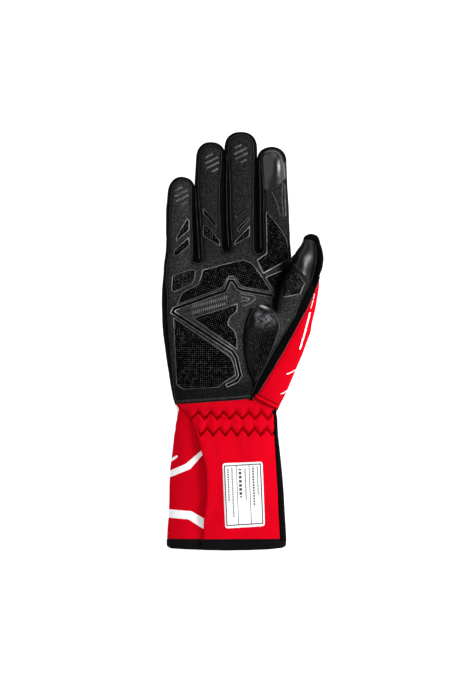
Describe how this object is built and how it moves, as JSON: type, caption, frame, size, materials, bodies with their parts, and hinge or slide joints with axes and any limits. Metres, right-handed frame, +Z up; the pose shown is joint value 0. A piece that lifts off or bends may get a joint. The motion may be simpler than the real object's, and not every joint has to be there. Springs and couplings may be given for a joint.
{
  "type": "racing glove",
  "caption": "Gauntlet driving glove for the right hand: suede palm with raised grips, gathered wrist and an open flared cuff.",
  "frame": {"origin": "middle of the underside of the glove's bounding box, on the surface that it lies on", "axes": "+Y from the cuff's hem to the fingertips, +X across the palm towards the thumb, +Z up out of the palm"},
  "size_m": [0.1228, 0.3242, 0.0371],
  "materials": {
    "suede": "matte black suede",
    "smooth_leather": "smooth black leather with a soft shine",
    "red_fabric": "vivid red woven fabric",
    "knit": "black knit and binding tape",
    "silicone": "raised black silicone print",
    "label": "white woven label, blank"
  },
  "bodies": {
    "root": {"palm_panel": "suede", "index_tip_patch": "smooth_leather", "thumb_tip_patch": "smooth_leather", "back_panel": "red_fabric", "wrap_welt": "red_fabric", "cuff_back": "red_fabric", "cuff_front": "red_fabric", "strip_ulnar": "knit", "strip_pinky_ring": "knit", "strip_ring_middle": "knit", "strip_middle_index": "knit", "strip_index_side": "knit", "strip_thumb_inner": "knit", "strip_thumb_outer": "knit", "palm_welt": "knit", "side_binding": "knit", "hem_binding": "knit", "grip_ulnar": "silicone", "grip_upper": "silicone", "grip_centre": "silicone", "grip_heel": "silicone", "grip_index": "silicone", "grip_web": "silicone", "grip_thumb": "silicone", "blade_pinky_upper": "silicone", "blade_pinky_lower": "silicone", "blade_ring_upper": "silicone", "blade_ring_lower": "silicone", "blade_middle_upper": "silicone", "blade_middle_centre": "silicone", "blade_middle_lower": "silicone", "grip_frame": "silicone", "thenar_pad": "silicone", "label": "label"}
  },
  "joints": []
}
